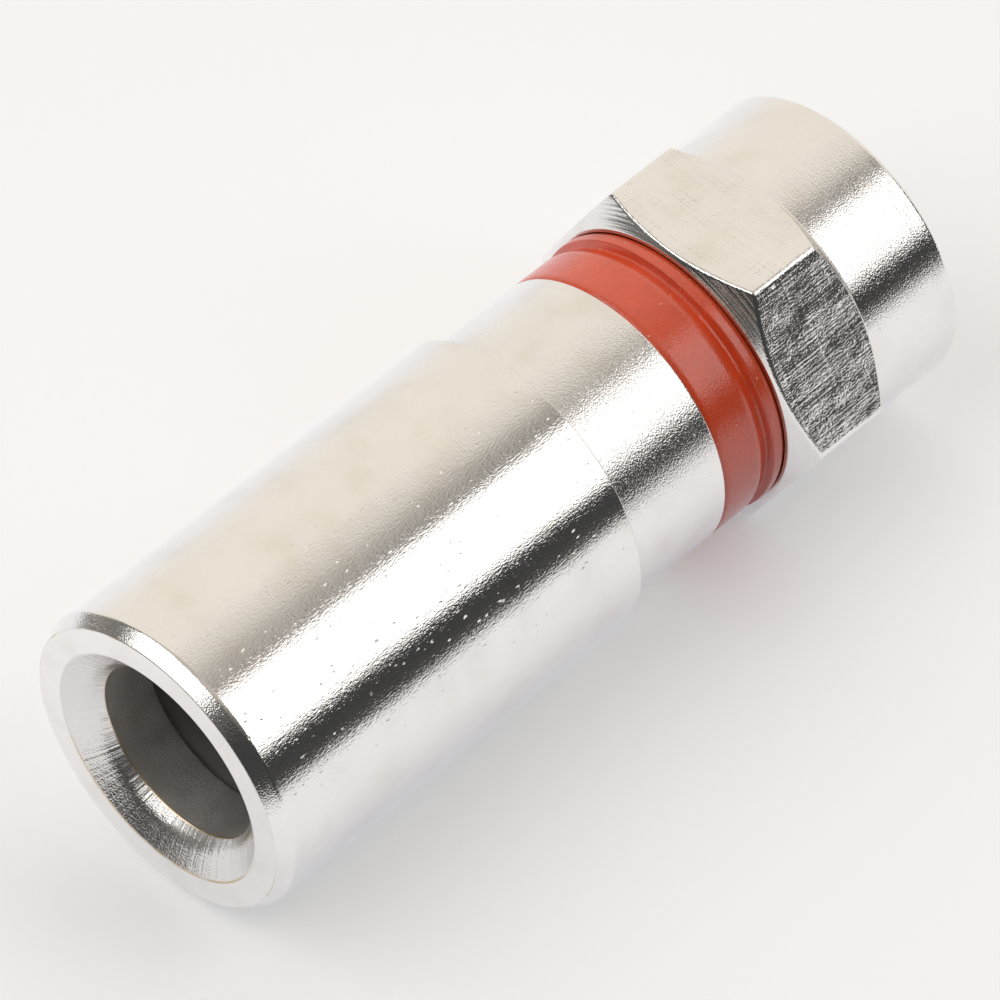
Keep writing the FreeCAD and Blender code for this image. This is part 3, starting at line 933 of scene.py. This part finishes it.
class PLUG_OT_sleeve(bpy.types.Operator):
    """Make the polished compression sleeve with its countersunk cable hole"""

    bl_idname = "plug.sleeve"
    bl_label = "Compression sleeve"

    def execute(self, context):
        s = context.scene.plug_sleeve
        rear, front, outer = node_reach("compression_sleeve")
        length = front - rear
        corners = [
            Corner(0, s.mouth / MM, SOFT, "matt", "lower_edge"),
            Corner(0, outer - s.bevel_drop / MM, 0.035, "turned", "worn_edge"),
            Corner(s.bevel_run / MM, outer, 0.07, "polished"),
            Corner(length, outer, 0.045, "satin", "worn_edge"),
            Corner(length, s.bore / MM, SOFT, "bored"),
            Corner(s.seat_end / MM, s.bore / MM, EDGE, "bored"),
            Corner(s.seat_end / MM, s.seat / MM, EDGE, "bored"),
            Corner(s.rear_wall / MM, s.seat / MM, EDGE, "bored"),
            Corner(s.rear_wall / MM, s.cable_hole / MM, EDGE, "bored"),
            Corner(s.mouth_depth / MM, s.cable_hole / MM, SOFT, "chattered", "bare_edge", 0.3),
            Corner(s.mouth_turn_x / MM, s.mouth_turn_r / MM, 0.20, "gouged", None, 0.3),
        ]
        piece = turned_piece("sleeve", corners, rear)
        stand_for(piece, "compression_sleeve", "sleeve")
        return {"FINISHED"}


class PLUG_OT_body(bpy.types.Operator):
    """Make the satin body with its neck and ring grooves"""

    bl_idname = "plug.body"
    bl_label = "Connector body"

    def execute(self, context):
        s = context.scene.plug_body
        rear, front, outer = node_reach("connector_body")
        shoulder = node_reach("weather_seal")[0] - rear
        rear_ring = node_reach("rear_ring_seal")
        front_ring = node_reach("front_ring_seal")
        length = front - rear
        bore, neck, hole = s.bore / MM, s.neck / MM, s.post_hole / MM
        mouth, gap, front_depth = 0.30, 0.10, 0.45
        rear_groove = (rear_ring[0] - gap - rear, rear_ring[1] + gap - rear)
        front_groove = (front_ring[0] - gap - rear, front_ring[1] + gap - rear)
        bore_end = shoulder - s.front_wall / MM
        corners = [
            Corner(0, bore + mouth, EDGE, "bored"),
            Corner(0, outer - mouth, EDGE, "satin"),
            Corner(mouth, outer, SOFT, "satin"),
            *groove(*rear_groove, outer, outer - s.groove / MM),
            Corner(shoulder, outer, 0.06, "satin"),
            Corner(shoulder, neck, EDGE, "satin"),
            *groove(*front_groove, neck, neck - front_depth),
            Corner(length, neck, EDGE, "satin"),
            Corner(length, hole, EDGE, "bored"),
            Corner(bore_end, hole, EDGE, "bored"),
            Corner(bore_end, bore, EDGE, "bored"),
            Corner(mouth, bore, EDGE, "bored"),
        ]
        piece = turned_piece("body", corners, rear)
        stand_for(piece, "connector_body", "plug_body")
        return {"FINISHED"}


class PLUG_OT_seal(bpy.types.Operator):
    """Make the red seal with its band, its groove and its lip"""

    bl_idname = "plug.seal"
    bl_label = "Weather seal"

    def execute(self, context):
        s = context.scene.plug_seal
        rear, front, lip = node_reach("weather_seal")
        band = node_reach("connector_body")[2]
        length = front - rear
        bore, nose, turn, fall = s.bore / MM, s.nose / MM, s.nose_turn / MM, s.nose_fall / MM
        floor = band - s.groove / MM
        band_run, band_drop = 0.16, 0.08
        rubber = "red_rubber"
        corners = [
            Corner(0, bore, EDGE, rubber),
            Corner(0, band - band_drop, CRISP, rubber),
            Corner(band_run, band, 0.14, rubber, spacing=0.3),
            Corner(s.band_length / MM, band, 0.12, rubber, spacing=0.2),
            Corner(s.groove_start / MM, floor, 0.05, rubber),
            Corner(s.groove_end / MM, floor, EDGE, rubber),
            Corner(s.lip_start / MM, lip, 0.05, rubber),
            Corner(length - nose, lip, 0.05, rubber),
            Corner(length - turn, lip - fall, CRISP, rubber),
            Corner(length, lip - fall - turn, CRISP, rubber),
            Corner(length, bore, EDGE, rubber),
        ]
        piece = turned_piece("seal", corners, rear)
        stand_for(piece, "weather_seal", "plug_body")
        return {"FINISHED"}


class PLUG_OT_nut(bpy.types.Operator):
    """Make the hexagon nut with its skirt, its recess and its thread"""

    bl_idname = "plug.nut"
    bl_label = "Coupling nut"

    def execute(self, context):
        s = context.scene.plug_nut
        rear, front, half_flats = node_reach("coupling_nut")
        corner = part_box("coupling_nut")[1].y / MM
        length = front - rear
        rim, skirt, hexagon = s.rim / MM, s.skirt / MM, s.hexagon_length / MM
        thread, relief, spin = s.thread / MM, s.relief / MM, s.spin_bore / MM
        mouth, bevel, rear_chamfer, front_chamfer = 0.40, 0.12, 0.60, 0.68
        touch = 0.001
        angles = nut_angles()
        hexagon_r = hexagon_radius(angles, half_flats, corner)
        rear_slope = rear_chamfer / (corner - rim)
        front_slope = front_chamfer / (corner - skirt)
        recess_end = s.recess_depth / MM
        flange_end = recess_end + s.inner_flange / MM
        thread_start = s.relief_end / MM
        recess_bevel = (s.recess_mouth - s.recess) / MM
        corners = [
            Corner(0, s.recess_mouth / MM, EDGE, "turned"),
            Corner(0, rim, SOFT, "faced"),
            Corner((hexagon_r - rim) * rear_slope, hexagon_r, 0.09, "milled", "turned"),
            Corner(hexagon - (hexagon_r - skirt) * front_slope, hexagon_r, EDGE, "faced", "turned"),
            Corner(hexagon, skirt, 0.05, "turned", None, 0.5),
            Corner(length - bevel, skirt, 0.06, "turned"),
            Corner(length, skirt - bevel, SOFT, "turned"),
            Corner(length, thread + mouth, SOFT, "turned"),
            Corner(length - mouth, thread, CRISP, "turned", None, 0.065),
            Corner(thread_start, thread, CRISP, "turned"),
            Corner(thread_start, relief, EDGE, "turned"),
            Corner(flange_end, relief, EDGE, "turned"),
            Corner(flange_end, spin, EDGE, "turned"),
            Corner(recess_end, spin, EDGE, "turned"),
            Corner(recess_end, s.recess / MM, EDGE, "turned"),
            Corner(recess_bevel, s.recess / MM, EDGE, "turned"),
        ]
        rows, finishes = outline_rows(corners, len(angles))
        ridge = thread_ridge(
            rows[..., 0], angles, s.thread_pitch / MM, s.thread_height / MM, thread_start, length - mouth
        )
        bore_rows = np.abs(rows[..., 1] - thread) < touch
        rows[..., 1] -= np.where(bore_rows, ridge, 0.0)
        piece = make_piece("nut", rows, angles, finishes, rear)
        stand_for(piece, "coupling_nut", "nut")
        return {"FINISHED"}


class PLUG_OT_post(bpy.types.Operator):
    """Make the flanged post that the cable's core passes through"""

    bl_idname = "plug.post"
    bl_label = "Post"

    def execute(self, context):
        s = context.scene.plug_post
        rear, front, flange = node_reach("post")
        body_front = node_reach("connector_body")[1] - rear
        bore, tail = s.bore / MM, (s.bore + s.wall) / MM
        seat_start = 7.90
        flange_rear = front - rear - s.flange_thickness / MM
        barb, knife, barb_run, barb_start, barb_back = 0.35, 0.22, 1.10, 0.55, 0.02
        barb_tops = [barb_start + barb_run, barb_start + 2 * barb_run]
        barbs = []
        for top in barb_tops:
            barbs.append(Corner(top, tail + barb, EDGE, "satin"))
            barbs.append(Corner(top + barb_back, tail, CRISP, "satin"))
        corners = [
            Corner(0, bore, CRISP, "satin"),
            Corner(0, tail - knife, CRISP, "satin"),
            Corner(knife, tail, EDGE, "satin"),
            Corner(barb_start, tail, EDGE, "satin"),
            *barbs,
            Corner(seat_start, tail, EDGE, "satin"),
            Corner(seat_start, s.seat / MM, EDGE, "satin"),
            Corner(body_front, s.seat / MM, EDGE, "satin"),
            Corner(body_front, s.shoulder / MM, EDGE, "satin"),
            Corner(flange_rear, s.shoulder / MM, EDGE, "satin"),
            Corner(flange_rear, flange, SOFT, "satin"),
            Corner(front - rear, flange, 0.05, "satin"),
            Corner(front - rear, bore, 0.06, "satin"),
        ]
        piece = turned_piece("post_tube", corners, rear)
        stand_for(piece, "post", "plug_body")
        return {"FINISHED"}


class PLUG_OT_inner_pieces(bpy.types.Operator):
    """Finish the ferrule and the two ring seals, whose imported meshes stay"""

    bl_idname = "plug.inner_pieces"
    bl_label = "Ferrule and ring seals"

    def execute(self, context):
        finishes = {
            "locking_ferrule": "ferrule_plastic",
            "front_ring_seal": "black_rubber",
            "rear_ring_seal": "black_rubber",
        }
        for name, finish in finishes.items():
            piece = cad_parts[name]
            piece.data.materials.clear()
            piece.data.materials.append(finish_material(finish))
        return {"FINISHED"}


class PLUG_PT_panel(bpy.types.Panel):
    """Lists the stage and the pieces"""

    bl_idname = "PLUG_PT_panel"
    bl_label = "F plug"
    bl_space_type = "VIEW_3D"
    bl_region_type = "UI"
    bl_category = "F plug"

    def draw(self, context):
        """A button for each operator, and a box for each group of settings."""
        for operator in OPERATORS:
            self.layout.operator(operator.bl_idname)
        for name in SETTINGS:
            box = self.layout.box()
            group = getattr(context.scene, name)
            for key in group.__annotations__:
                box.prop(group, key)


SETTINGS = {
    "plug_finish": PlugFinishSettings,
    "plug_stage": PlugStageSettings,
    "plug_sleeve": PlugSleeveSettings,
    "plug_body": PlugBodySettings,
    "plug_seal": PlugSealSettings,
    "plug_nut": PlugNutSettings,
    "plug_post": PlugPostSettings,
}

OPERATORS = (
    PLUG_OT_stage,
    PLUG_OT_sleeve,
    PLUG_OT_body,
    PLUG_OT_seal,
    PLUG_OT_nut,
    PLUG_OT_post,
    PLUG_OT_inner_pieces,
)


def register():
    """Add the classes, and the settings of the scene."""
    for kind in (*SETTINGS.values(), *OPERATORS, PLUG_PT_panel):
        bpy.utils.register_class(kind)
    for name, kind in SETTINGS.items():
        setattr(bpy.types.Scene, name, PointerProperty(type=kind))


def unregister():
    """Take the settings away again, and then the classes."""
    for name in SETTINGS:
        delattr(bpy.types.Scene, name)
    for kind in reversed((*SETTINGS.values(), *OPERATORS, PLUG_PT_panel)):
        bpy.utils.unregister_class(kind)


def main():
    """Make the stage and the pieces."""
    register()
    bpy.ops.plug.stage()
    bpy.ops.plug.sleeve()
    bpy.ops.plug.body()
    bpy.ops.plug.seal()
    bpy.ops.plug.nut()
    bpy.ops.plug.post()
    bpy.ops.plug.inner_pieces()


if __name__ == "__main__":
    main()
